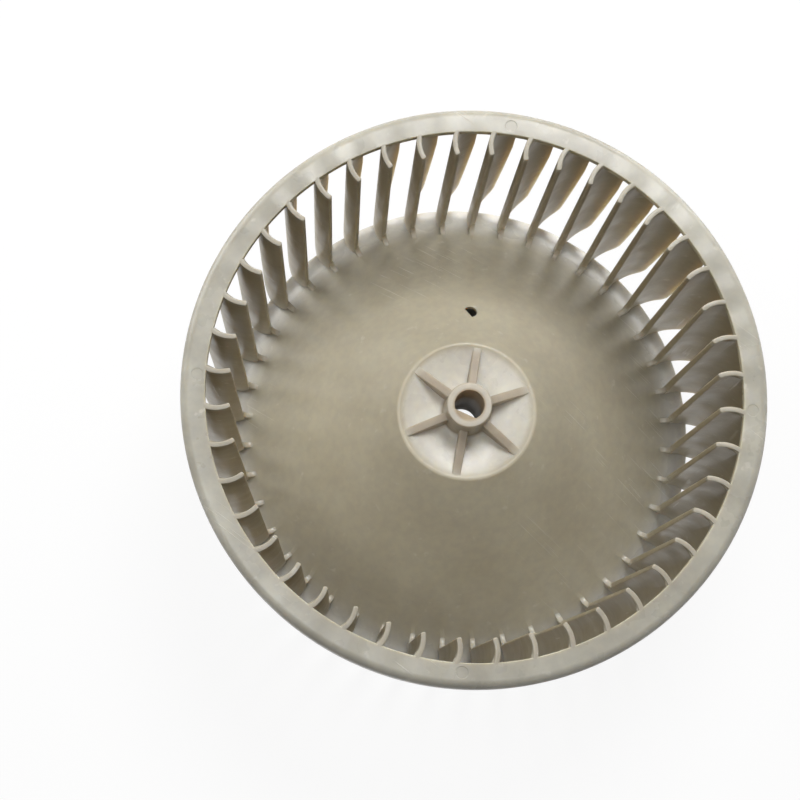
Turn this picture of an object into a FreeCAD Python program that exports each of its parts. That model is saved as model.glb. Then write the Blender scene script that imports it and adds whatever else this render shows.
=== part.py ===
"""Fan impeller: a one-piece moulded blower wheel.

The wheel lies on its back rim. +Z runs along the bore towards the open inlet side,
the origin is on the axis in the plane of the back rim, and +X passes through a hub
rib and through the inner edge of a blade. All sizes are in millimetres and degrees.
"""
import FreeCAD, Part
import math
import os

import Sketcher

os.makedirs("parts", exist_ok=True)
doc = FreeCAD.newDocument("fan_impeller")
dims = doc.addObject("Spreadsheet::Sheet", "dims")

SIZES = (
    ("depth", 74.0, "back rim to the front face of the ring"),
    ("ring_r", 75.0, "outside of the front ring"),
    ("ring_w", 6.5, "width of the ring's front face, inner edge to outside"),
    ("ring_depth", 9.0, "front face to the rear edge of the ring's skirt"),
    ("flange_t", 2.1, "thickness of the ring's front flange"),
    ("skirt_t", 1.5, "thickness of the ring's skirt"),
    ("ring_round", 2.4, "outer rounding of the ring"),
    ("blade_count", 44, "blades round the wheel"),
    ("blade_reach", 12.6, "outside of the ring in to the blades' inner edge"),
    ("blade_back_t", 1.98, "thickness of a blade in the plane of the back rim"),
    ("blade_front_t", 1.3, "thickness of a blade at the front"),
    ("blade_arc_r", 8.4, "radius of a blade's middle line"),
    ("blade_inlet_deg", 21.6, "heading of a blade at its inner edge, from radial"),
    ("blade_sweep_deg", 105.0, "turn of a blade from its inner to its outer edge"),
    ("blade_inset", 0.7, "outside of the ring in to the blades' outer edge at the front"),
    ("blade_draft", 1.7, "how far that edge leans in before it starts to round"),
    ("shoulder_z", 14.0, "height where it starts to round"),
    ("heel_in", 4.4, "how far the rounding leads in to the back plate's edge"),
    ("toe_t", 1.5, "thickness of the toe at the foot of a blade's inner edge"),
    ("toe_z", 8.6, "height where the toe leaves the inner edge"),
    ("toe_round", 2.2, "radius of the toe's hollow"),
    ("toe_sweep_deg", 135.0, "turn of that hollow"),
    ("edge_bevel", 0.3, "bevel of the back plate's front corner"),
    ("plate_t", 1.9, "thickness of the back plate"),
    ("lip_flat", 0.8, "outside of the back plate in to where the flared lip turns flat"),
    ("flare_r", 7.0, "radius of the flared lip's front face"),
    ("rim_r", 18.7, "top of the cone, the rim of the hub dish"),
    ("rim_z", 43.4, "height of that rim"),
    ("dish_z", 41.3, "floor of the hub dish at the boss"),
    ("dish_curve_r", 27.0, "radius of the dish floor's hollow"),
    ("web_t", 2.0, "thickness of the hub web under the dish"),
    ("boss_top_r", 6.05, "front end of the boss"),
    ("boss_foot_r", 6.4, "foot of the boss in the dish"),
    ("boss_back_r", 6.6, "back end of the boss"),
    ("boss_root_r", 7.4, "root of the boss under the web"),
    ("boss_front_z", 52.8, "front face of the boss"),
    ("boss_back_z", 20.8, "back face of the boss"),
    ("bore_r", 3.97, "bore for a 5/16 inch shaft"),
    ("bore_rear_r", 4.25, "bore behind the flat, clear of the shaft"),
    ("flat_gap", 2.55, "axis to the flat in the bore"),
    ("flat_deg", 225.0, "direction from the axis to the flat"),
    ("flat_depth", 0.5, "boss face down to the top of the flat"),
    ("flat_len", 11.0, "length of the flat"),
    ("rib_count", 6, "ribs in the hub dish"),
    ("rib_t", 2.3, "thickness of a rib"),
    ("rib_root_r", 5.0, "inner end of a rib, inside the boss wall"),
    ("rib_root_z", 47.4, "top of a rib at its inner end"),
    ("rib_end_r", 18.2, "outer end of a rib, inside the dish floor"),
    ("rib_end_z", 42.85, "top of a rib at its outer end"),
    ("vent_r", 1.83, "small hole in the cone"),
    ("vent_gap", 0.75, "centre of the small hole to its flat side"),
    ("vent_flat_deg", 191.4, "direction of the small hole's flat side"),
    ("vent_place_r", 29.9, "axis to the centre of the small hole"),
    ("vent_place_deg", 66.1, "direction of the small hole from +X"),
    ("overrun", 3.0, "how far a cutting outline runs past what it cuts"),
)
for row, (alias, value, note) in enumerate(SIZES, start=1):
    dims.set("A%d" % row, note)
    dims.set("B%d" % row, str(value))
    dims.setAlias("B%d" % row, alias)
doc.recompute()

# Radii that follow the outside of the ring
RING_EYE = "ring_r - ring_w"
BLADE_TIP = "ring_r - blade_reach"
BLADE_FRONT = "ring_r - blade_inset"
SHOULDER = BLADE_FRONT + " - blade_draft"
EDGE = SHOULDER + " - heel_in"
LIP = EDGE + " - lip_flat"


def amount(text):
    """What a sum of sheet names such as 'depth - flange_t' or 'web_t/2' comes to now."""
    total = 0.0
    sign = 1.0
    for word in text.split():
        if word in ("+", "-"):
            sign = 1.0 if word == "+" else -1.0
            continue
        name, _, share = word.partition("/")
        total += sign * float(dims.get(name)) / float(share or 1)
    return total


def bound(text):
    """The same sum as an expression that follows the sheet."""
    return " ".join(word if word in ("+", "-") else "dims." + word for word in text.split())


def constrain(sketch, *settings):
    """Adds one constraint to a sketch."""
    return sketch.addConstraint(Sketcher.Constraint(*settings))


def tie(sketch, expression, *settings):
    """Adds a constraint whose size follows the sheet."""
    sketch.setExpression("Constraints[%d]" % constrain(sketch, *settings), expression)


def hold(sketch, curve, end, across, up):
    """Holds a point at sums of sheet sizes across and up; an empty sum is the axis itself."""
    for kind, axis, text in (("DistanceX", -2, across), ("DistanceY", -1, up)):
        if text:
            tie(sketch, bound(text), kind, -1, 1, curve, end, amount(text))
        else:
            constrain(sketch, "PointOnObject", curve, end, axis)


def origin_part(body, role):
    """One of the body's own origin planes or axes."""
    return next(part for part in body.Origin.OriginFeatures if part.Role == role)


def make_sketch(body, name, role):
    """A sketch on one of the body's origin planes."""
    sketch = body.newObject("Sketcher::SketchObject", name)
    sketch.AttachmentSupport = [(origin_part(body, role), "")]
    sketch.MapMode = "FlatFace"
    return sketch


class Outline:
    """A closed outline drawn run by run, its points held to the sheet."""

    def __init__(self, sketch, across, up):
        self.sketch = sketch
        self.here = (amount(across), amount(up))
        self.first_point = (across, up)
        self.first = None
        self.last = None

    def join(self, curve, near, far, link="Coincident"):
        if self.first is None:
            self.first = (curve, near)
            hold(self.sketch, curve, near, *self.first_point)
        else:
            constrain(self.sketch, link, self.last[0], self.last[1], curve, near)
        self.last = (curve, far)
        return curve

    def free_line(self, guess):
        """A straight run whose far end other constraints settle."""
        line = Part.LineSegment(FreeCAD.Vector(*self.here, 0), FreeCAD.Vector(*guess, 0))
        self.here = guess
        return self.join(self.sketch.addGeometry(line, False), 1, 2)

    def line(self, across, up):
        """A straight run to a point."""
        curve = self.free_line((amount(across), amount(up)))
        hold(self.sketch, curve, 2, across, up)
        return curve

    def arc(self, centre, stop, leftward, link="Coincident"):
        """A round run to a free point; leftward runs counter-clockwise."""
        start_angle = math.atan2(self.here[1] - centre[1], self.here[0] - centre[0])
        stop_angle = math.atan2(stop[1] - centre[1], stop[0] - centre[0])
        radius = math.hypot(stop[0] - centre[0], stop[1] - centre[1])
        circle = Part.Circle(FreeCAD.Vector(*centre, 0), FreeCAD.Vector(0, 0, 1), radius)
        ends = (start_angle, stop_angle) if leftward else (stop_angle, start_angle)
        curve = self.sketch.addGeometry(Part.ArcOfCircle(circle, *ends), False)
        near, far = (1, 2) if leftward else (2, 1)
        self.here = stop
        return self.join(curve, near, far, link)

    def close(self):
        """The last straight run, back to the first point."""
        start = self.sketch.getPoint(*self.first)
        curve = self.free_line((start.x, start.y))
        constrain(self.sketch, "Coincident", curve, 2, *self.first)
        return curve


def turn_round(body, kind, name, sketch):
    """A feature turned once round the sketch's upright axis."""
    feature = body.newObject("PartDesign::" + kind, name)
    feature.Profile = (sketch, [""])
    feature.ReferenceAxis = (sketch, ["V_Axis"])
    feature.Angle = 360.0
    return feature


def repeat_round(body, name, originals, count):
    """Copies features evenly round the wheel's axis."""
    pattern = body.newObject("PartDesign::PolarPattern", name)
    pattern.Originals = originals
    pattern.Axis = (origin_part(body, "Z_Axis"), [""])
    pattern.Angle = 360.0
    pattern.setExpression("Occurrences", bound(count))
    body.Tip = pattern
    return pattern


def offset_cone(gap):
    """Where a line that far behind the cone's face meets the lip's arc, and the cone's tilt."""
    run = amount(LIP + " - rim_r")
    drop = amount("rim_z - plate_t - flare_r")
    reach = math.hypot(run, drop)
    tilt = math.atan2(drop, run) + math.asin(amount("flare_r") / reach)
    radius = amount("flare_r") + gap
    return (
        amount(LIP) - radius * math.sin(tilt),
        amount("plate_t + flare_r") - radius * math.cos(tilt),
    ), tilt


def wheel_core(body):
    """Boss, hub dish, cone and lip, solid down to the plane of the back rim."""
    sketch = make_sketch(body, "core_profile", "XZ_Plane")
    shape = Outline(sketch, "", "boss_front_z")
    shape.line("boss_top_r", "boss_front_z")
    shape.line("boss_foot_r", "dish_z")
    foot = shape.here
    rim = (amount("rim_r"), amount("rim_z"))
    chord = math.hypot(rim[0] - foot[0], rim[1] - foot[1])
    rise = math.sqrt(amount("dish_curve_r") ** 2 - chord ** 2 / 4) / chord
    centre = (
        (foot[0] + rim[0]) / 2 - rise * (rim[1] - foot[1]),
        (foot[1] + rim[1]) / 2 + rise * (rim[0] - foot[0]),
    )
    dish = shape.arc(centre, rim, True)
    tie(sketch, bound("dish_curve_r"), "Radius", dish, amount("dish_curve_r"))
    hold(sketch, dish, 2, "rim_r", "rim_z")
    shape.free_line(offset_cone(0.0)[0])
    lip_centre = (amount(LIP), amount("plate_t + flare_r"))
    lip = shape.arc(lip_centre, (amount(LIP), amount("plate_t")), True, "Tangent")
    hold(sketch, lip, 3, LIP, "plate_t + flare_r")
    hold(sketch, lip, 2, LIP, "plate_t")
    shape.line(EDGE + " + overrun", "plate_t")
    shape.line(EDGE + " + overrun", "")
    shape.line("", "")
    shape.close()
    return turn_round(body, "Revolution", "wheel_core", sketch)


def hub_ribs(body):
    """Ribs that run from the boss down to the rim of the dish."""
    sketch = make_sketch(body, "rib_profile", "XZ_Plane")
    shape = Outline(sketch, "rib_root_r", "rib_root_z")
    shape.line("rib_end_r", "rib_end_z")
    shape.line("rib_end_r", "dish_z - web_t/2")
    shape.line("rib_root_r", "dish_z - web_t/2")
    shape.close()
    rib = body.newObject("PartDesign::Pad", "hub_rib")
    rib.Profile = (sketch, [""])
    rib.SideType = "Symmetric"
    rib.setExpression("Length", bound("rib_t"))
    return repeat_round(body, "hub_ribs", [rib], "rib_count")


def blades(body):
    """Forward-curved blades, thinner towards the front, each with a hollow toe on the cone."""
    sketch = make_sketch(body, "blade_profile", "XZ_Plane")
    sketch.AttachmentOffset = FreeCAD.Placement(
        FreeCAD.Vector(), FreeCAD.Rotation(FreeCAD.Vector(0, 1, 0), 90.0)
    )
    heading = "dims.blade_inlet_deg * 1 deg"
    sketch.setExpression(
        "AttachmentOffset.Base.x", "%s + dims.blade_arc_r * sin(%s)" % (bound(BLADE_TIP), heading)
    )
    sketch.setExpression("AttachmentOffset.Base.z", "dims.blade_arc_r * cos(%s)" % heading)
    sketch.setExpression("AttachmentOffset.Rotation.Angle", "dims.blade_inlet_deg + 90")
    shape = Outline(sketch, "blade_arc_r - blade_back_t/2", "")
    shape.line("blade_arc_r + blade_back_t/2", "")
    shape.line("blade_arc_r + blade_front_t/2", "depth")
    shape.line("blade_arc_r - blade_front_t/2", "depth")
    shape.close()
    blade = turn_round(body, "Revolution", "blade", sketch)
    blade.Reversed = True
    blade.setExpression("Angle", bound("blade_sweep_deg"))

    toe_sketch = make_sketch(body, "toe_profile", "XZ_Plane")
    shape = Outline(toe_sketch, BLADE_TIP, "toe_z")
    toe_centre = (amount(BLADE_TIP + " - toe_round"), amount("toe_z"))
    turn = math.radians(amount("toe_sweep_deg"))
    toe_end = (
        toe_centre[0] + amount("toe_round") * math.cos(turn),
        toe_centre[1] - amount("toe_round") * math.sin(turn),
    )
    hollow = shape.arc(toe_centre, toe_end, False)
    hold(toe_sketch, hollow, 3, BLADE_TIP + " - toe_round", "toe_z")
    tie(toe_sketch, bound("toe_sweep_deg"), "Angle", hollow, turn)
    shape.line(BLADE_TIP + " + toe_t/2", "plate_t")
    shape.line(BLADE_TIP + " + toe_t/2", "toe_z")
    shape.close()
    toe = body.newObject("PartDesign::Pad", "blade_toe")
    toe.Profile = (toe_sketch, [""])
    toe.SideType = "Symmetric"
    toe.setExpression("Length", bound("toe_t"))
    return repeat_round(body, "blades", [blade, toe], "blade_count")


def trim_outside(body):
    """Cuts the blades' outer edges and the back plate's edge to one flowing line."""
    sketch = make_sketch(body, "outer_trim_profile", "XZ_Plane")
    shape = Outline(sketch, "ring_r - ring_round", "depth")
    shape.line(BLADE_FRONT, "depth - ring_round")
    start = shape.here
    shape.line(SHOULDER, "shoulder_z")
    shoulder = shape.here
    slope = math.hypot(start[0] - shoulder[0], start[1] - shoulder[1])
    inward = ((shoulder[1] - start[1]) / slope, (start[0] - shoulder[0]) / slope)
    heel = (amount(EDGE), amount("plate_t - edge_bevel"))
    step = (heel[0] - shoulder[0], heel[1] - shoulder[1])
    radius = (step[0] ** 2 + step[1] ** 2) / 2 / (inward[0] * step[0] + inward[1] * step[1])
    centre = (shoulder[0] + radius * inward[0], shoulder[1] + radius * inward[1])
    curve = shape.arc(centre, heel, False, "Tangent")
    hold(sketch, curve, 1, EDGE, "plate_t - edge_bevel")
    shape.line(EDGE, "- overrun")
    shape.line("ring_r + overrun", "- overrun")
    shape.line("ring_r + overrun", "depth + overrun")
    shape.line("ring_r - ring_round", "depth + overrun")
    shape.close()
    return turn_round(body, "Groove", "outer_trim", sketch)


def front_ring(body):
    """Flat flange with a rounded outer corner and a short skirt."""
    sketch = make_sketch(body, "ring_profile", "XZ_Plane")
    shape = Outline(sketch, RING_EYE, "depth - flange_t")
    shape.line(RING_EYE, "depth")
    shape.line("ring_r - ring_round", "depth")
    centre = (amount("ring_r - ring_round"), amount("depth - ring_round"))
    corner = shape.arc(centre, (amount("ring_r"), centre[1]), False)
    hold(sketch, corner, 3, "ring_r - ring_round", "depth - ring_round")
    constrain(sketch, "Horizontal", corner, 3, corner, 1)
    shape.line("ring_r", "depth - ring_depth")
    shape.line("ring_r - skirt_t", "depth - ring_depth")
    shape.line("ring_r - skirt_t", "depth - flange_t")
    shape.close()
    return turn_round(body, "Revolution", "front_ring", sketch)


def hollow_back(body):
    """Opens the back: the recess under the cone, round the long boss."""
    sketch = make_sketch(body, "back_profile", "XZ_Plane")
    shape = Outline(sketch, "", "- overrun")
    shape.line("", "boss_back_z")
    shape.line("boss_back_r", "boss_back_z")
    shape.line("boss_root_r", "dish_z - web_t")
    (foot_r, foot_z), tilt = offset_cone(amount("plate_t"))
    ceiling = amount("dish_z - web_t")
    web = shape.free_line((foot_r - (ceiling - foot_z) / math.tan(tilt), ceiling))
    tie(sketch, bound("dish_z - web_t"), "DistanceY", -1, 1, web, 2, ceiling)
    cone = shape.free_line((foot_r, foot_z))
    lip_centre = (amount(LIP), amount("plate_t + flare_r"))
    lip = shape.arc(lip_centre, (amount(LIP), 0.0), True, "Tangent")
    hold(sketch, lip, 3, LIP, "plate_t + flare_r")
    hold(sketch, lip, 2, LIP, "")
    shape.line(LIP, "- overrun")
    shape.close()
    rim_point = FreeCAD.Vector(amount("rim_r"), amount("rim_z"), 0)
    rim = sketch.addGeometry(Part.Point(rim_point), True)
    hold(sketch, rim, 1, "rim_r", "rim_z")
    tie(sketch, bound("plate_t"), "Distance", rim, 1, cone, amount("plate_t"))
    return turn_round(body, "Groove", "back_recess", sketch)


def flatted_circle(sketch, radius, gap):
    """A circle with one flat, across the sketch's own +X side."""
    reach = amount(radius)
    half = math.acos(amount(gap) / reach)
    circle = Part.Circle(FreeCAD.Vector(0, 0, 0), FreeCAD.Vector(0, 0, 1), reach)
    arc = sketch.addGeometry(Part.ArcOfCircle(circle, half, 2 * math.pi - half), False)
    chord = sketch.addGeometry(
        Part.LineSegment(sketch.getPoint(arc, 2), sketch.getPoint(arc, 1)), False
    )
    constrain(sketch, "Coincident", arc, 3, -1, 1)
    constrain(sketch, "Coincident", arc, 2, chord, 1)
    constrain(sketch, "Coincident", chord, 2, arc, 1)
    constrain(sketch, "Vertical", chord)
    tie(sketch, bound(radius), "Radius", arc, reach)
    tie(sketch, bound(gap), "DistanceX", -1, 1, chord, 1, amount(gap))


def round_hole(body, name, radius, height, length, upward):
    """A plain stretch of the bore from a height, up or down the axis."""
    sketch = make_sketch(body, name + "_circle", "XY_Plane")
    sketch.setExpression("AttachmentOffset.Base.z", bound(height))
    circle = Part.Circle(FreeCAD.Vector(0, 0, 0), FreeCAD.Vector(0, 0, 1), amount(radius))
    ring = sketch.addGeometry(circle, False)
    constrain(sketch, "Coincident", ring, 3, -1, 1)
    tie(sketch, bound(radius), "Radius", ring, amount(radius))
    pocket = body.newObject("PartDesign::Pocket", name)
    pocket.Profile = (sketch, [""])
    pocket.Reversed = upward
    pocket.setExpression("Length", bound(length))
    return pocket


def bore(body):
    """The shaft bore: a short round mouth, a stretch with one flat, then round to the back."""
    sketch = make_sketch(body, "bore_section", "XY_Plane")
    sketch.setExpression("AttachmentOffset.Base.z", bound("boss_front_z"))
    sketch.setExpression("AttachmentOffset.Rotation.Angle", bound("flat_deg"))
    flatted_circle(sketch, "bore_r", "flat_gap")
    flatted = body.newObject("PartDesign::Pocket", "flatted_bore")
    flatted.Profile = (sketch, [""])
    flatted.setExpression("Length", bound("boss_front_z - boss_back_z + overrun"))
    round_hole(body, "bore_mouth", "bore_r", "boss_front_z", "flat_depth", False)
    rear = "boss_front_z - flat_depth - flat_len - boss_back_z + overrun"
    return round_hole(body, "rear_bore", "bore_rear_r", "boss_back_z - overrun", rear, True)


def vent(body):
    """The small hole with one flat side that goes through the cone."""
    sketch = make_sketch(body, "vent_section", "XY_Plane")
    place = "dims.vent_place_r * %s(dims.vent_place_deg * 1 deg)"
    sketch.setExpression("AttachmentOffset.Base.x", place % "cos")
    sketch.setExpression("AttachmentOffset.Base.y", place % "sin")
    sketch.setExpression("AttachmentOffset.Rotation.Angle", bound("vent_flat_deg"))
    flatted_circle(sketch, "vent_r", "vent_gap")
    hole = body.newObject("PartDesign::Pocket", "vent")
    hole.Profile = (sketch, [""])
    hole.Reversed = True
    hole.setExpression("Length", bound("boss_front_z"))
    return hole


def check(part):
    """Stops the build when a feature failed or left no sound solid."""
    for thing in doc.Objects:
        if "Invalid" in thing.State or "Error" in thing.State:
            raise RuntimeError("%s did not build" % thing.Name)
    if part.Shape.isNull() or not part.Shape.isValid() or len(part.Shape.Solids) != 1:
        raise RuntimeError("%s is not one sound solid" % part.Name)


impeller = doc.addObject("PartDesign::Body", "impeller")
impeller.Label = "impeller"
ADDS, CUTS = 1, -1
STEPS = (
    (wheel_core, ADDS),
    (hub_ribs, ADDS),
    (bore, CUTS),
    (vent, CUTS),
    (blades, ADDS),
    (trim_outside, CUTS),
    (hollow_back, CUTS),
    (front_ring, ADDS),
)
volume = 0.0
for step, effect in STEPS:
    step(impeller)
    doc.recompute()
    change = impeller.Shape.Volume - volume
    if effect * change <= 0:
        raise RuntimeError("%s changed nothing" % step.__name__)
    volume += change

impeller.Placement = FreeCAD.Placement()
doc.recompute()
check(impeller)
impeller.Shape.exportStep("parts/impeller.step")
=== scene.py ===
"""Looks of the fan impeller: a one-piece moulded blower wheel in ivory plastic."""

import math

import bpy
from mathutils import Matrix, Vector


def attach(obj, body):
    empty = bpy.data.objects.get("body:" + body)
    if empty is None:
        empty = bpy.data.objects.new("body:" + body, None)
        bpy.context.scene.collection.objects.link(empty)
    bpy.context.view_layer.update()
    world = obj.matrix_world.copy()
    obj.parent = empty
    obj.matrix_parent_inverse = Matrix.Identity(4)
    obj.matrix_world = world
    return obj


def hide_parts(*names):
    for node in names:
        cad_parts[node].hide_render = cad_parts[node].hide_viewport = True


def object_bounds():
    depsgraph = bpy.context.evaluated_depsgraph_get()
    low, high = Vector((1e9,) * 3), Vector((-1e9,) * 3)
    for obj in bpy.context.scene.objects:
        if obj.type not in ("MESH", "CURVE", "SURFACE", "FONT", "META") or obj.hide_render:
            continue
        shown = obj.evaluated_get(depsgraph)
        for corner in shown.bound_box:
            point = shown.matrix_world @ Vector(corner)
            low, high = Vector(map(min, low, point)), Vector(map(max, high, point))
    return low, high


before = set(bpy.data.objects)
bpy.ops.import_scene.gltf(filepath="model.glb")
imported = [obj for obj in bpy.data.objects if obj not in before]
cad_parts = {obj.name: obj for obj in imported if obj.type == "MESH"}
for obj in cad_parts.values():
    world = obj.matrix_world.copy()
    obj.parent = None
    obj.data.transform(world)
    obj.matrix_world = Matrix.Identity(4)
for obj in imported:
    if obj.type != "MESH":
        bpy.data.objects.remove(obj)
cad_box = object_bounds()
MM = 0.001

# Sizes of the wheel, in millimetres and radians. A gap is a flat's distance from the middle of
# its hole, the facet room keeps the ring inside the box of the solid's facets, and the key sinks
# into the wall round the bore.
OUTSIDE_R, DEPTH = round(cad_box[1][0] / MM, 3), round(cad_box[1][2] / MM, 3)
FACET_ROOM = 0.03
RING_R, RING_EYE_R, RING_DEPTH = OUTSIDE_R - FACET_ROOM, OUTSIDE_R - 6.5, 9.0
FLANGE_T, SKIRT_T, RING_ROUND = 2.1, 1.5, 2.4
BLADE_COUNT, BLADE_BACK_T, BLADE_FRONT_T = 44, 1.98, 1.3
BLADE_TIP_R, BLADE_FRONT_R = OUTSIDE_R - 12.6, OUTSIDE_R - 0.7
BLADE_ARC_R, BLADE_INLET, BLADE_SWEEP = 8.4, math.radians(21.6), math.radians(105.0)
SHOULDER_R, SHOULDER_Z = BLADE_FRONT_R - 1.7, 14.0
EDGE_R, EDGE_BEVEL, PLATE_T = SHOULDER_R - 4.4, 0.3, 1.9
TOE_T, TOE_Z, TOE_ROUND, TOE_SWEEP = 1.5, 8.6, 2.2, math.radians(135.0)
LIP_R, FLARE_R, RIM_R, RIM_Z = EDGE_R - 0.8, 7.0, 18.7, 43.4
DISH_Z, DISH_CURVE_R, WEB_T = 41.3, 27.0, 2.0
BOSS_TOP_R, BOSS_FOOT_R, BOSS_BACK_R, BOSS_ROOT_R = 6.05, 6.4, 6.6, 7.4
BOSS_FRONT_Z, BOSS_BACK_Z = 52.8, 20.8
BORE_R, BORE_REAR_R = 3.97, 4.25
FLAT_GAP, FLAT_DIR, FLAT_DEPTH, FLAT_LEN = 2.55, math.radians(225.0), 0.5, 11.0
KEY_SINK = 1.0
RIB_COUNT, RIB_T, RIB_FOOT = 6, 2.3, 0.12
RIB_ROOT_R, RIB_ROOT_Z, RIB_END_R, RIB_END_Z = 5.0, 47.4, 18.2, 42.85
VENT_R, VENT_GAP, VENT_FLAT_DIR = 1.83, 0.75, math.radians(191.4)
VENT_PLACE_R, VENT_PLACE_DIR = 29.9, math.radians(66.1)

# Ejector marks, as distance from the axis in millimetres and direction in degrees
MARK_R, MARK_DEPTH = 1.6, 0.12
MARK_PLACES = ((70.8, 62.0), (70.7, 156.9), (70.9, -113.4), (70.8, -24.0))

# Radii of the rounds on its edges in millimetres, with the middle one of the steps that ease a
# toe's edge, and the least width that is left at a blade's outer end
SHARP = 0.0
EASED = 0.25
BORE_EASE, BOSS_EASE, BOSS_BACK_EASE = 0.2, 0.35, 0.4
BOSS_ROOT_ROUND, BOSS_FOOT_ROUND, CEILING_ROUND = 0.8, 0.7, 2.0
RIM_ROUND, BACK_EDGE_EASE = 1.2, 0.2
EYE_BACK_EASE, FLANGE_CORNER_ROUND, SKIRT_EASE = 0.2, 0.8, 0.3
BLADE_TIP_ROUND, BLADE_END_LEAST = 0.45, 0.06
TOE_EASE, TOE_EASE_MIDDLE = 0.3, 0.09
RIB_EASE = 0.35

# Fineness of the meshes; the cone's face gets rows of its own, so that no face is long and thin.
# The blades' sections lie at heights, and the last two at shares of the flange below its front.
ROUND_STEPS = 220
CORE_STEP, RING_STEP = math.radians(8.0), math.radians(9.0)
CONE_ROWS, CONE_FIRST_ROW_R = 9, 56.5
DISH_STEPS, BLADE_STEPS, BLADE_END_STEPS, BLADE_TIP_STEPS = 9, 12, 4, 5
TOE_STEPS, RIB_STATIONS, RIB_EASE_STEPS, EASE_STEPS = 12, 10, 4, 3
KEY_STEPS, VENT_STEPS, MARK_STEPS = 16, 28, 32
BLADE_LEVELS = (1.2, 2.2, 3.5, 5.0, 6.6, 8.4, 10.5, SHOULDER_Z, 30.0, 50.0)
FLANGE_SHARES = (0.7, 0.4)
SMOOTH_BELOW = math.radians(28.0)


def arc(centre, radius, start, stop, steps):
    """Points on an arc, both ends included."""
    points = []
    for k in range(steps + 1):
        turn = start + (stop - start) * k / steps
        points.append((
            centre[0] + radius * math.cos(turn),
            centre[1] + radius * math.sin(turn),
        ))
    return points


def quarter_round(steps):
    """How far a round draws in and stays down, as shares of its radius, from side to top."""
    shares = []
    for k in range(steps + 1):
        lean = math.pi / 2 * k / steps
        shares.append((1 - math.cos(lean), 1 - math.sin(lean)))
    return shares


def corner_arc(before, corner, after, radius, steps):
    """Points of the round that replaces one corner of an outline."""
    here = Vector(corner)
    back = (Vector(before) - here).normalized()
    ahead = (Vector(after) - here).normalized()
    half = back.angle(ahead) / 2
    reach = radius / math.tan(half)
    middle = here + (back + ahead).normalized() * (radius / math.sin(half))
    start = here + back * reach - middle
    stop = here + ahead * reach - middle
    first = math.atan2(start.y, start.x)
    turn = math.remainder(math.atan2(stop.y, stop.x) - first, 2 * math.pi)
    return arc(middle, radius, first, first + turn, steps)


def rounded(corners, step):
    """A closed outline from (across, up, radius of the round) corners."""
    points = []
    for k, (across, up, radius) in enumerate(corners):
        if radius == SHARP:
            points.append((across, up))
            continue
        before = corners[k - 1][:2]
        after = corners[(k + 1) % len(corners)][:2]
        here = Vector((across, up))
        inside = (Vector(before) - here).angle(Vector(after) - here)
        steps = max(2, round((math.pi - inside) / step))
        points += corner_arc(before, (across, up), after, radius, steps)
    return points


def new_piece(name, points, faces):
    """A mesh object from points in millimetres."""
    mesh = bpy.data.meshes.new(name)
    mesh.from_pydata([tuple(c * MM for c in p) for p in points], [], faces)
    mesh.validate()
    piece = bpy.data.objects.new(name, mesh)
    bpy.context.scene.collection.objects.link(piece)
    return piece


def shells(name, rings_list, closed_rings=False):
    """Closed shells, each lofted through rings of points; a closed loft needs no end caps."""
    points, faces = [], []
    for rings in rings_list:
        start, count = len(points), len(rings[0])
        for ring in rings:
            points += ring
        turns = len(rings) if closed_rings else len(rings) - 1
        for row in range(turns):
            low = start + row * count
            high = start + ((row + 1) % len(rings)) * count
            for k in range(count):
                after = (k + 1) % count
                faces.append((low + k, low + after, high + after, high + k))
        if not closed_rings:
            faces.append(tuple(start + k for k in reversed(range(count))))
            top = start + (len(rings) - 1) * count
            faces.append(tuple(top + k for k in range(count)))
    return new_piece(name, points, faces)


def revolved(name, outline):
    """An outline of (radius, height), counter-clockwise, turned once round the axis."""
    rings = []
    for k in reversed(range(ROUND_STEPS)):
        turn = 2 * math.pi * k / ROUND_STEPS
        rings.append([(r * math.cos(turn), r * math.sin(turn), z) for r, z in outline])
    return shells(name, [rings], closed_rings=True)


def spun(point, turn):
    """A point turned round the wheel's axis."""
    x, y, z = point
    return (
        x * math.cos(turn) - y * math.sin(turn),
        x * math.sin(turn) + y * math.cos(turn),
        z,
    )


def all_round(name, rings, count):
    """Equal shells, set at equal steps round the wheel's axis."""
    pitch = 2 * math.pi / count
    rings_list = []
    for k in range(count):
        rings_list.append([[spun(p, k * pitch) for p in ring] for ring in rings])
    return shells(name, rings_list)


def combine(piece, other, operation):
    """Joins a shell to the piece, or cuts it out, and removes the shell."""
    modifier = piece.modifiers.new(other.name, "BOOLEAN")
    modifier.operation = operation
    modifier.solver = "MANIFOLD"
    modifier.material_mode = "TRANSFER"
    modifier.object = other
    bpy.context.view_layer.update()
    result = bpy.data.meshes.new_from_object(
        piece.evaluated_get(bpy.context.evaluated_depsgraph_get())
    )
    piece.modifiers.clear()
    piece.data = result
    bpy.data.objects.remove(other)


def cone_line():
    """Tilt of the cone's front face, and its height at the axis."""
    run, drop = LIP_R - RIM_R, RIM_Z - PLATE_T - FLARE_R
    tilt = math.atan2(drop, run) + math.asin(FLARE_R / math.hypot(run, drop))
    return tilt, RIM_Z + RIM_R * math.tan(tilt)


def dish_floor():
    """Corners along the hollow dish floor, from the boss's foot to the rim, without its ends."""
    foot, rim = Vector((BOSS_FOOT_R, DISH_Z)), Vector((RIM_R, RIM_Z))
    chord = rim - foot
    rise = math.sqrt(DISH_CURVE_R ** 2 - chord.length_squared / 4)
    centre = (foot + rim) / 2 + Vector((-chord.y, chord.x)).normalized() * rise
    start = math.atan2(foot.y - centre.y, foot.x - centre.x)
    stop = math.atan2(rim.y - centre.y, rim.x - centre.x)
    floor = arc(centre, DISH_CURVE_R, start, stop, DISH_STEPS)
    return [(r, z, SHARP) for r, z in floor[1:-1]]


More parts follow.
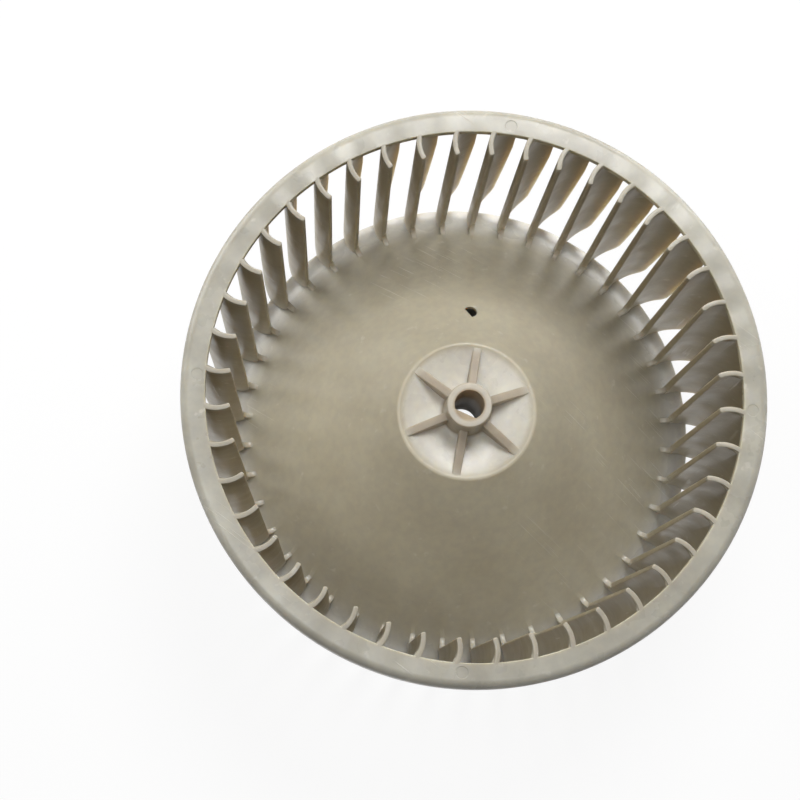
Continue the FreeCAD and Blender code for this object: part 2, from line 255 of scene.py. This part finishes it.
def core():
    """Boss, dish, cone, lip and rear recess in one turned outline."""
    tilt, peak = cone_line()
    slope = math.tan(tilt)
    under_peak = peak - PLATE_T / math.cos(tilt)
    ceiling = DISH_Z - WEB_T
    flat_end = BOSS_FRONT_Z - FLAT_DEPTH - FLAT_LEN
    corners = [
        (BORE_R, BOSS_FRONT_Z, BORE_EASE),
        (BORE_R, flat_end, SHARP),
        (BORE_REAR_R, flat_end, SHARP),
        (BORE_REAR_R, BOSS_BACK_Z, BOSS_BACK_EASE),
        (BOSS_BACK_R, BOSS_BACK_Z, BOSS_BACK_EASE),
        (BOSS_ROOT_R, ceiling, BOSS_ROOT_ROUND),
        ((under_peak - ceiling) / slope, ceiling, CEILING_ROUND),
        (under_peak / slope, 0.0, FLARE_R + PLATE_T),
        (EDGE_R, 0.0, BACK_EDGE_EASE),
        (EDGE_R, PLATE_T, EASED),
        ((peak - PLATE_T) / slope, PLATE_T, FLARE_R),
    ]
    for k in range(CONE_ROWS):
        r = CONE_FIRST_ROW_R + (RIM_R - CONE_FIRST_ROW_R) * k / CONE_ROWS
        corners.append((r, peak - r * slope, SHARP))
    corners.append((RIM_R, RIM_Z, RIM_ROUND))
    corners += reversed(dish_floor())
    corners += [
        (BOSS_FOOT_R, DISH_Z, BOSS_FOOT_ROUND),
        (BOSS_TOP_R, BOSS_FRONT_Z, BOSS_EASE),
    ]
    return revolved("core", rounded(corners, CORE_STEP))


def front_ring():
    """Flange, rounded shoulder and skirt."""
    corners = [
        (RING_EYE_R, DEPTH - FLANGE_T, EYE_BACK_EASE),
        (RING_R - SKIRT_T, DEPTH - FLANGE_T, FLANGE_CORNER_ROUND),
        (RING_R - SKIRT_T, DEPTH - RING_DEPTH, SKIRT_EASE),
        (RING_R, DEPTH - RING_DEPTH, SKIRT_EASE),
        (RING_R, DEPTH, RING_ROUND),
        (RING_EYE_R, DEPTH, EASED),
    ]
    return revolved("front_ring", rounded(corners, RING_STEP))


def outer_edge(z):
    """Radius of the blades' outer edge at a height; inside the flange it draws back."""
    slant = (BLADE_FRONT_R - SHOULDER_R) / (DEPTH - RING_ROUND - SHOULDER_Z)
    if z > DEPTH - FLANGE_T / 2:
        return RING_EYE_R + 2 * EASED
    if z >= SHOULDER_Z:
        return SHOULDER_R + slant * (z - SHOULDER_Z)
    inward = Vector((-1.0, slant)).normalized()
    heel = Vector((EDGE_R - SHOULDER_R, PLATE_T - EDGE_BEVEL - SHOULDER_Z))
    radius = heel.length_squared / 2 / inward.dot(heel)
    centre = Vector((SHOULDER_R, SHOULDER_Z)) + inward * radius
    return centre.x + math.sqrt(radius ** 2 - (z - centre.y) ** 2)


def blade_section(z, inset):
    """Closed section of a blade at a height, drawn smaller all round by the inset."""
    centre = Vector((
        BLADE_TIP_R + BLADE_ARC_R * math.sin(BLADE_INLET),
        -BLADE_ARC_R * math.cos(BLADE_INLET),
    ))
    near = BLADE_INLET + math.pi / 2 - inset / BLADE_ARC_R
    last = BLADE_INLET + math.pi / 2 - BLADE_SWEEP
    limit = outer_edge(z)
    half = (BLADE_BACK_T + (BLADE_FRONT_T - BLADE_BACK_T) * z / DEPTH) / 2 - inset
    outer, inner = BLADE_ARC_R + half, BLADE_ARC_R - half

    def crossing(radius):
        """Angle where a face leaves the wheel's outer edge, or ends before it."""
        reach = centre.length
        cosine = (limit ** 2 - reach ** 2 - radius ** 2) / (2 * reach * radius)
        towards = math.atan2(centre.y, centre.x)
        return max(last, towards + math.acos(max(-1.0, min(1.0, cosine))))

    def face(radius):
        """Points on one face from the tip to its far end."""
        first = near - BLADE_TIP_ROUND / radius
        return arc(centre, radius, first, crossing(radius), BLADE_STEPS)

    def at(radius, turn):
        """A point of the section, round the blade's own centre."""
        return (centre.x + radius * math.cos(turn), centre.y + radius * math.sin(turn))

    tip = quarter_round(BLADE_TIP_STEPS)[1:-1]
    section = face(outer)[::-1]
    for drawn_in, down in tip:
        turn = near - BLADE_TIP_ROUND * down / BLADE_ARC_R
        section.append(at(outer - BLADE_TIP_ROUND * drawn_in, turn))
    for drawn_in, down in reversed(tip):
        turn = near - BLADE_TIP_ROUND * down / BLADE_ARC_R
        section.append(at(inner + BLADE_TIP_ROUND * drawn_in, turn))
    section += face(inner)
    start, stop = crossing(inner), crossing(outer)
    for k in range(BLADE_END_STEPS):
        turn = start + (stop - start) * k / BLADE_END_STEPS
        ahead = centre.x * math.cos(turn) + centre.y * math.sin(turn)
        edge = math.sqrt(ahead ** 2 - centre.length_squared + limit ** 2) - ahead
        section.append(at(min(outer, max(inner + BLADE_END_LEAST, edge)), turn))
    return [(x, y, z) for x, y in section]


def blades():
    """Every blade from inside the back plate to the front face, with its front end eased."""
    rings = [blade_section(z, 0.0) for z in BLADE_LEVELS]
    rings += [blade_section(DEPTH - FLANGE_T * share, 0.0) for share in FLANGE_SHARES]
    for drawn_in, down in quarter_round(EASE_STEPS):
        rings.append(blade_section(DEPTH - EASED * down, EASED * drawn_in))
    return all_round("blades", rings, BLADE_COUNT)


def toes():
    """The hollow foot at each blade's inner edge."""
    def outline(y, grown):
        """The toe's side, with its hollow cut deeper where the edge is eased."""
        centre = (BLADE_TIP_R - TOE_ROUND, TOE_Z)
        points = arc(centre, TOE_ROUND + grown, 0.0, -TOE_SWEEP, TOE_STEPS)
        points.append((BLADE_TIP_R + TOE_T / 2, PLATE_T))
        points.append((BLADE_TIP_R + TOE_T / 2, TOE_Z))
        return [(x, y, z) for x, z in points]

    half = TOE_T / 2
    rings = [
        outline(half, TOE_EASE),
        outline(half - TOE_EASE_MIDDLE, TOE_EASE_MIDDLE),
        outline(half - TOE_EASE, 0.0),
        outline(-half + TOE_EASE, 0.0),
        outline(-half + TOE_EASE_MIDDLE, TOE_EASE_MIDDLE),
        outline(-half, TOE_EASE),
    ]
    return all_round("toes", rings, BLADE_COUNT)


def ribs():
    """The hub's ribs, with eased top edges."""
    low = DISH_Z - WEB_T / 2
    half = RIB_T / 2
    edge = quarter_round(RIB_EASE_STEPS)
    rings = []
    for s in range(RIB_STATIONS + 1):
        share = s / RIB_STATIONS
        r = RIB_ROOT_R + (RIB_END_R - RIB_ROOT_R) * share
        top = RIB_ROOT_Z + (RIB_END_Z - RIB_ROOT_Z) * share
        ring = [(r, -half - RIB_FOOT, low), (r, half + RIB_FOOT, low)]
        for drawn_in, down in edge:
            ring.append((r, half - RIB_EASE * drawn_in, top - RIB_EASE * down))
        for drawn_in, down in reversed(edge):
            ring.append((r, -half + RIB_EASE * drawn_in, top - RIB_EASE * down))
        rings.append(ring)
    return all_round("ribs", rings, RIB_COUNT)


def bore_flat():
    """The key that makes one side of the bore flat."""
    reach = BORE_R + KEY_SINK
    half = math.acos(FLAT_GAP / reach)
    outline = arc((0.0, 0.0), reach, -half, half, KEY_STEPS)
    high = BOSS_FRONT_Z - FLAT_DEPTH
    rings = []
    for z in (high - FLAT_LEN, high):
        rings.append([spun((x, y, z), FLAT_DIR) for x, y in outline])
    return shells("bore_flat", [rings])


def vent():
    """The cutter of the small hole with one flat side."""
    half = math.acos(VENT_GAP / VENT_R)
    centre = (VENT_PLACE_R * math.cos(VENT_PLACE_DIR), VENT_PLACE_R * math.sin(VENT_PLACE_DIR))
    start = VENT_FLAT_DIR + half
    stop = VENT_FLAT_DIR + 2 * math.pi - half
    outline = arc(centre, VENT_R, start, stop, VENT_STEPS)
    rings = [[(x, y, z) for x, y in outline] for z in (BOSS_BACK_Z, BOSS_FRONT_Z)]
    return shells("vent", [rings])


def marks():
    """Cutters of the round ejector marks in the ring's front face."""
    rings_list = []
    for r, degrees in MARK_PLACES:
        turn = math.radians(degrees)
        centre = (r * math.cos(turn), r * math.sin(turn))
        rings = []
        for side in (-MARK_DEPTH, MARK_DEPTH):
            outline = arc(centre, MARK_R + side, 0.0, 2 * math.pi, MARK_STEPS)
            rings.append([(x, y, DEPTH + side) for x, y in outline[:-1]])
        rings_list.append(rings)
    return shells("marks", rings_list)


class Graph:
    """The nodes of one material or world, with a short call for each kind used here."""

    def __init__(self, owner):
        """Turns on the owner's nodes."""
        owner.use_nodes = True
        self.nodes, self.links = owner.node_tree.nodes, owner.node_tree.links

    def feed(self, socket, value):
        """Gives a socket another one's value, or a plain number, vector or colour."""
        if isinstance(value, bpy.types.NodeSocket):
            self.links.new(value, socket)
        elif socket.type == "RGBA":
            socket.default_value = (*value, 1.0)
        else:
            socket.default_value = value

    def calculate(self, operation, first, second=0.0):
        """One step of arithmetic."""
        step = self.nodes.new("ShaderNodeMath")
        step.operation = operation
        self.feed(step.inputs[0], first)
        self.feed(step.inputs[1], second)
        return step.outputs[0]

    def spread(self, source, limits, results=(0.0, 1.0), easing="LINEAR"):
        """Maps a value between two limits to a new range."""
        step = self.nodes.new("ShaderNodeMapRange")
        step.interpolation_type = easing
        step.inputs["From Min"].default_value, step.inputs["From Max"].default_value = limits
        step.inputs["To Min"].default_value, step.inputs["To Max"].default_value = results
        self.feed(step.inputs["Value"], source)
        return step.outputs["Result"]

    def blend(self, share, first, second, how="MIX"):
        """Mixes two colours."""
        mix = self.nodes.new("ShaderNodeMix")
        mix.data_type = "RGBA"
        mix.blend_type = how
        for name, value in (("Factor_Float", share), ("A_Color", first), ("B_Color", second)):
            socket = next(s for s in mix.inputs if s.identifier == name)
            self.feed(socket, value)
        return next(s for s in mix.outputs if s.identifier == "Result_Color")

    def noise(self, place, scale, detail=3.0):
        """Soft noise, at so many features a metre."""
        texture = self.nodes.new("ShaderNodeTexNoise")
        texture.inputs["Scale"].default_value = scale
        texture.inputs["Detail"].default_value = detail
        self.feed(texture.inputs["Vector"], place)
        return texture.outputs["Fac"]

    def banded(self, source, stops, whole):
        """A colour that changes along a distance; the stops are (millimetres, colour)."""
        band = self.nodes.new("ShaderNodeValToRGB")
        elements = band.color_ramp.elements
        elements[0].color = (*stops[0][1], 1.0)
        elements[1].color = (*stops[-1][1], 1.0)
        for distance, colour in stops:
            elements.new(distance / whole).color = (*colour, 1.0)
        self.feed(band.inputs["Fac"], self.calculate("DIVIDE", source, whole * MM))
        return band.outputs["Color"]

    def bump(self, height, strength, depth, under=None):
        """A normal that follows a height, with its full depth in millimetres."""
        relief = self.nodes.new("ShaderNodeBump")
        relief.inputs["Strength"].default_value = strength
        relief.inputs["Distance"].default_value = depth * MM
        self.feed(relief.inputs["Height"], height)
        if under:
            self.feed(relief.inputs["Normal"], under)
        return relief.outputs["Normal"]

    def position(self):
        """The point's place, its x, y and z, and its distance from the axis, in metres."""
        place = self.nodes.new("ShaderNodeTexCoord").outputs["Object"]
        split = self.nodes.new("ShaderNodeSeparateXYZ")
        self.feed(split.inputs[0], place)
        x, y, z = split.outputs
        across = self.calculate("MULTIPLY", x, x)
        along = self.calculate("MULTIPLY", y, y)
        radius = self.calculate("SQRT", self.calculate("ADD", across, along))
        return place, x, y, z, radius

    def seen_rays(self):
        """One for rays that see the background, straight or mirrored, and zero for the rest."""
        path = self.nodes.new("ShaderNodeLightPath")
        seen = path.outputs["Is Camera Ray"]
        for kind in ("Is Glossy Ray", "Is Transmission Ray"):
            seen = self.calculate("MAXIMUM", seen, path.outputs[kind])
        return seen


# The plastic's finish: features a metre of each noise, the part of a noise that shows, its share
# and tone, and the strength and the depth in millimetres of each relief
CLOUDS, GRAIN, DABS, WEAR, PEEL, SCUFFS = 55.0, 420.0, 300.0, 130.0, 700.0, 28.0
FINE_DETAIL = 2.0
MIDDLE = (0.35, 0.65)
CLOUD_HUE, FAINT_CLOUDS, STRONG_CLOUDS = (1.0, 0.985, 0.97), (0.93, 1.04), (0.88, 1.08)
DARK_GRAIN, PALE_GRAIN = (0.96, 0.955, 0.96), (1.03, 1.03, 1.01)
DAB_PEAKS, DAB_SHARE, DAB_TONE = (0.66, 0.74), 0.3, (0.72, 0.69, 0.62)
SCRATCH_PEAKS, SCRATCH_SHARE, SCRATCH_TONE = (0.66, 0.71), 0.35, (0.80, 0.78, 0.72)
SCRATCH_SIZE, SCRATCH_TURN = (0.016, 0.0004, 0.02), math.radians(-57.0)
SCUFF_PEAKS = (0.56, 0.62)
WEAR_RANGE = (0.85, 1.2)
PEEL_STRENGTH, PEEL_DEPTH = 0.3, 0.08
SCRATCH_STRENGTH, SCRATCH_DEPTH = 0.5, 0.12
RING_SWELL = 0.08

# The light under its skin: share, reach of each colour, and depths in millimetres; refraction
GLOW, GLOW_REACH, GLOW_DEPTH, THIN_GLOW_DEPTH = 0.7, (1.0, 0.82, 0.6), 3.0, 2.0
PLASTIC_IOR = 1.49


def mottled(graph, place, tone, clouds):
    """Large clouds, fine grain and a few pale dabs over a colour."""
    low, high = clouds
    cloud = graph.spread(graph.noise(place, CLOUDS), MIDDLE)
    dark = tuple(low * share for share in CLOUD_HUE)
    patch = graph.blend(cloud, dark, (high, high, high))
    tone = graph.blend(1.0, tone, patch, "MULTIPLY")
    speck = graph.spread(graph.noise(place, GRAIN, FINE_DETAIL), MIDDLE)
    grain = graph.blend(speck, DARK_GRAIN, PALE_GRAIN)
    tone = graph.blend(1.0, tone, grain, "MULTIPLY")
    dab = graph.spread(graph.noise(place, DABS), DAB_PEAKS, (0.0, DAB_SHARE))
    return graph.blend(dab, tone, DAB_TONE)


def scratches(graph, place):
    """Fine straight scratches in one direction, in a few scuffed places."""
    drawn = graph.nodes.new("ShaderNodeMapping")
    drawn.vector_type = "TEXTURE"
    drawn.inputs["Rotation"].default_value = (0.0, 0.0, SCRATCH_TURN)
    drawn.inputs["Scale"].default_value = SCRATCH_SIZE
    graph.feed(drawn.inputs["Vector"], place)
    lines = graph.spread(graph.noise(drawn.outputs["Vector"], 1.0, 1.0), SCRATCH_PEAKS)
    scuffed = graph.spread(graph.noise(place, SCUFFS), SCUFF_PEAKS)
    return graph.calculate("MULTIPLY", lines, scuffed)


def swell(graph, x, y):
    """A soft wave round the wheel, one for each blade."""
    turn = graph.calculate("ARCTAN2", y, x)
    return graph.calculate("SINE", graph.calculate("MULTIPLY", turn, float(BLADE_COUNT)))


def plastic(
    name, tones, shine, by_height=False, deep=GLOW_DEPTH, waves=0.0, clouds=FAINT_CLOUDS
):
    """Moulded ivory plastic: banded and mottled colour, orange peel, light under the skin.

    The tones give its colour, painted shade and highlights included where the tables hold them,
    and the shine its roughness, by the distance from the axis or by the height.
    """
    material = bpy.data.materials.new(name)
    graph = Graph(material)
    shader = graph.nodes["Principled BSDF"]
    place, x, y, z, radius = graph.position()
    source, whole = (z, DEPTH) if by_height else (radius, RING_R)
    tone = mottled(graph, place, graph.banded(source, tones, whole), clouds)
    scratched = scratches(graph, place)
    faint = graph.calculate("MULTIPLY", scratched, SCRATCH_SHARE)
    graph.feed(shader.inputs["Base Color"], graph.blend(faint, tone, SCRATCH_TONE))
    wear = graph.spread(graph.noise(place, WEAR), MIDDLE, WEAR_RANGE)
    grey = [(distance, (value, value, value)) for distance, value in shine]
    rough = graph.banded(source, grey, whole)
    graph.feed(shader.inputs["Roughness"], graph.calculate("MULTIPLY", rough, wear))
    shader.inputs["Subsurface Weight"].default_value = GLOW
    shader.inputs["Subsurface Radius"].default_value = GLOW_REACH
    shader.inputs["Subsurface Scale"].default_value = deep * MM
    shader.inputs["IOR"].default_value = PLASTIC_IOR
    peel = graph.noise(place, PEEL, FINE_DETAIL)
    normal = graph.bump(peel, PEEL_STRENGTH, PEEL_DEPTH)
    normal = graph.bump(scratched, SCRATCH_STRENGTH, SCRATCH_DEPTH, normal)
    if waves:
        normal = graph.bump(swell(graph, x, y), 1.0, waves, normal)
    graph.feed(shader.inputs["Normal"], normal)
    return material


# Colours by the distance from the axis in millimetres, and roughness by the same distance, where
# one stop alone makes an even finish. On the core: bore, boss, dish, cone and lip; most of these
# colours hold painted light, as said at each stop.
CORE_TONES_WITH_PAINTED_LIGHT = [
    # Painted shade: the bore's wall is brown and darker, as the shade inside the bore.
    (4.3, (0.46, 0.37, 0.26)),
    (4.5, (0.55, 0.51, 0.43)),
    (5.7, (0.55, 0.51, 0.43)),
    # Painted shade: the boss's side wall is browner and darker, as the shade at its foot.
    (6.0, (0.42, 0.36, 0.27)),
    (6.5, (0.46, 0.40, 0.31)),
    # Painted sheen: the dish is much paler than the cone, standing in for the highlights on its
    # glossy floor.
    (7.5, (0.71, 0.685, 0.61)),
    (16.6, (0.70, 0.67, 0.59)),
    # Painted shade: the cone is lighter near the hub and darker outwards, as the light falls off
    # into the bowl.
    (18.2, (0.54, 0.495, 0.38)),
    (21.0, (0.56, 0.515, 0.395)),
    (42.0, (0.51, 0.468, 0.355)),
    # Painted reflection: the lip turns pale bluish-white towards the plate's edge.
    (59.0, (0.51, 0.475, 0.375)),
    (64.5, (0.59, 0.575, 0.53)),
]
CORE_SHINE = [
    (4.3, 0.7), (4.5, 0.4), (8.0, 0.26), (17.0, 0.28), (20.0, 0.42), (58.0, 0.4), (64.0, 0.25),
]
# Painted shade: the ribs' darker brown stands in for the shade on them; at their ends they turn to
# the dish's pale tone with its painted sheen.
RIB_TONES_WITH_PAINTED_SHADE = [
    (6.0, (0.45, 0.39, 0.305)),
    (15.0, (0.47, 0.41, 0.325)),
    (18.0, (0.60, 0.565, 0.48)),
]
RIB_SHINE = [(10.0, 0.4)]
RING_TONES = [
    (68.5, (0.47, 0.44, 0.33)),
    (69.2, (0.43, 0.41, 0.345)),
    (72.5, (0.46, 0.445, 0.38)),
    (74.9, (0.44, 0.42, 0.355)),
]
RING_SHINE = [(70.0, 0.3)]

# Colours and roughness by the height in millimetres: painted shade makes the blades dark brown
# towards the front under the ring's flange, and a painted glow makes them paler towards the back
# plate, where light passes through them.
BLADE_TONES_WITH_PAINTED_SHADE = [
    (2.0, (0.64, 0.60, 0.51)),
    (13.0, (0.52, 0.465, 0.35)),
    (30.0, (0.46, 0.405, 0.29)),
    (60.0, (0.38, 0.33, 0.225)),
    (71.5, (0.34, 0.29, 0.195)),
    (73.6, (0.40, 0.37, 0.30)),
]
BLADE_SHINE = [(10.0, 0.38)]
# Painted highlight: the toes' pale colour, whitest at their foot, stands in for the light they
# catch.
TOE_TONES_WITH_PAINTED_HIGHLIGHT = [
    (2.0, (0.70, 0.68, 0.63)),
    (8.0, (0.58, 0.54, 0.45)),
]
TOE_SHINE = [(10.0, 0.25)]

SKINS = {
    "core": plastic("ivory_core_painted_light", CORE_TONES_WITH_PAINTED_LIGHT, CORE_SHINE),
    "rib": plastic("ivory_rib_painted_shade", RIB_TONES_WITH_PAINTED_SHADE, RIB_SHINE),
    "blade": plastic("ivory_blade_painted_shade", BLADE_TONES_WITH_PAINTED_SHADE, BLADE_SHINE, True, THIN_GLOW_DEPTH),
    "toe": plastic("ivory_toe_painted_highlight", TOE_TONES_WITH_PAINTED_HIGHLIGHT, TOE_SHINE, True),
    "ring": plastic(
        "ivory_ring", RING_TONES, RING_SHINE, waves=RING_SWELL, clouds=STRONG_CLOUDS
    ),
}


def dressed(piece, skin):
    """The piece in one of the skins."""
    piece.data.materials.append(SKINS[skin])
    return piece


def impeller():
    """The whole wheel as one mesh, which keeps the skin of each form that is joined to it."""
    wheel = dressed(core(), "core")
    combine(wheel, dressed(ribs(), "rib"), "UNION")
    combine(wheel, dressed(bore_flat(), "core"), "UNION")
    combine(wheel, dressed(vent(), "core"), "DIFFERENCE")
    combine(wheel, dressed(blades(), "blade"), "UNION")
    combine(wheel, dressed(toes(), "toe"), "UNION")
    combine(wheel, dressed(front_ring(), "ring"), "UNION")
    combine(wheel, dressed(marks(), "ring"), "DIFFERENCE")
    wheel.data.polygons.foreach_set("use_smooth", [True] * len(wheel.data.polygons))
    wheel.data.set_sharp_from_angle(angle=SMOOTH_BELOW)
    wheel.name = "impeller_body"
    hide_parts("impeller")
    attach(wheel, "root")


# The floor in metres, its tone in the light that it throws back on the wheel, and the distances
# from the axis, in millimetres, between which the shade under the wheel and its shadow change
FLOOR_HALF, FLOOR_ROUGHNESS, FLOOR_TONE = 10.0, 0.9, (0.6, 0.6, 0.6)
WHITE = (1.0, 1.0, 1.0)
SHADE_STARTS, SHADE_ENDS = (14.0, 18.0), (58.0, 62.0)
SHADOW_FADES, SHADOW_GLOW = (150.0, 450.0), (0.9, 1.0)
WORLD_LIGHT = 0.03


def in_metres(limits):
    """A pair of millimetre limits as the shaders need them."""
    return tuple(limit * MM for limit in limits)


def floor_material():
    """White to the eye, with a soft shadow; it stays dark under the wheel's closed cone."""
    material = bpy.data.materials.new("floor_white")
    graph = Graph(material)
    shader = graph.nodes["Principled BSDF"]
    shader.inputs["Roughness"].default_value = FLOOR_ROUGHNESS
    glow = graph.nodes.new("ShaderNodeEmission")
    seen = graph.seen_rays()
    graph.feed(shader.inputs["Base Color"], graph.blend(seen, FLOOR_TONE, WHITE))
    radius = graph.position()[-1]
    past_start = graph.spread(radius, in_metres(SHADE_STARTS), easing="SMOOTHSTEP")
    past_end = graph.spread(radius, in_metres(SHADE_ENDS), easing="SMOOTHSTEP")
    underside = graph.nodes.new("ShaderNodeNewGeometry").outputs["Backfacing"]
    lit = graph.calculate("MAXIMUM", graph.calculate("SUBTRACT", 1.0, past_start), past_end)
    lit = graph.calculate("MAXIMUM", lit, underside)
    share = graph.spread(radius, in_metres(SHADOW_FADES), SHADOW_GLOW, "SMOOTHSTEP")
    share = graph.calculate("MULTIPLY", graph.calculate("MULTIPLY", seen, share), lit)
    mix = graph.nodes.new("ShaderNodeMixShader")
    graph.feed(mix.inputs["Fac"], share)
    graph.feed(mix.inputs[1], shader.outputs[0])
    graph.feed(mix.inputs[2], glow.outputs[0])
    graph.feed(graph.nodes["Material Output"].inputs["Surface"], mix.outputs[0])
    return material


def floor():
    """A plain pale floor."""
    half = FLOOR_HALF
    corners = [(-half, -half, 0), (half, -half, 0), (half, half, 0), (-half, half, 0)]
    mesh = bpy.data.meshes.new("floor")
    mesh.from_pydata(corners, [], [(0, 1, 2, 3)])
    mesh.materials.append(floor_material())
    plane = bpy.data.objects.new("floor", mesh)
    bpy.context.scene.collection.objects.link(plane)


def studio():
    """A world that looks white and lights the wheel only a little."""
    world = bpy.data.worlds.new("studio")
    graph = Graph(world)
    background = graph.nodes["Background"]
    graph.feed(background.inputs["Color"], WHITE)
    strength = graph.spread(graph.seen_rays(), (0.0, 1.0), (WORLD_LIGHT, 1.0))
    graph.feed(background.inputs["Strength"], strength)
    bpy.context.scene.world = world


# The photograph's right, up and towards the eye in the wheel's own frame; the lamps' aim in metres
ACROSS = Vector((0.9389, -0.3442, 0.0))
UPWARD = Vector((0.3442, 0.9389, 0.0))
OUTWARD = Vector((0.0, 0.0, 1.0))
AIM = Vector((0.0, 0.0, 0.04))


def lamp(name, right, up, out, size, power):
    """A round soft lamp placed by the photograph's directions, in metres, aimed at the dish."""
    data = bpy.data.lights.new(name, "AREA")
    data.shape = "DISK"
    data.size = size
    data.energy = power
    light = bpy.data.objects.new(name, data)
    light.location = ACROSS * right + UPWARD * up + OUTWARD * out
    light.rotation_euler = (AIM - light.location).to_track_quat("-Z", "Y").to_euler()
    bpy.context.scene.collection.objects.link(light)


# The camera's place in millimetres, the ways of its right and back sides, and its lens
EYE_PLACE = Vector((-61.545, -63.304, 508.008))
EYE_RIGHT = Vector((0.93822, -0.34390, 0.03836))
EYE_BACK = Vector((-0.09625, -0.15286, 0.98355))
SENSOR, LENS, NEAREST = 36.0, 78.505, 0.01


def camera():
    """The camera at the photograph's viewing angle."""
    back = EYE_BACK.normalized()
    up = back.cross(EYE_RIGHT).normalized()
    right = up.cross(back)
    data = bpy.data.cameras.new("camera")
    data.sensor_width = SENSOR
    data.lens = LENS
    data.clip_start = NEAREST
    eye = bpy.data.objects.new("camera", data)
    turned = Matrix((right, up, back)).transposed().to_4x4()
    eye.matrix_world = Matrix.Translation(EYE_PLACE * MM) @ turned
    bpy.context.scene.collection.objects.link(eye)
    bpy.context.scene.camera = eye


impeller()
floor()
lamp("front_top", right=0.10, up=0.37, out=0.70, size=0.35, power=3.6)
lamp("front_low", right=-0.20, up=-0.05, out=0.77, size=0.45, power=1.5)
lamp("top_right", right=0.5, up=0.58, out=0.22, size=0.6, power=2.8)
lamp("top_left", right=-0.6, up=0.48, out=0.22, size=0.6, power=3.4)
studio()
camera()
bpy.context.scene.view_settings.view_transform = "Standard"
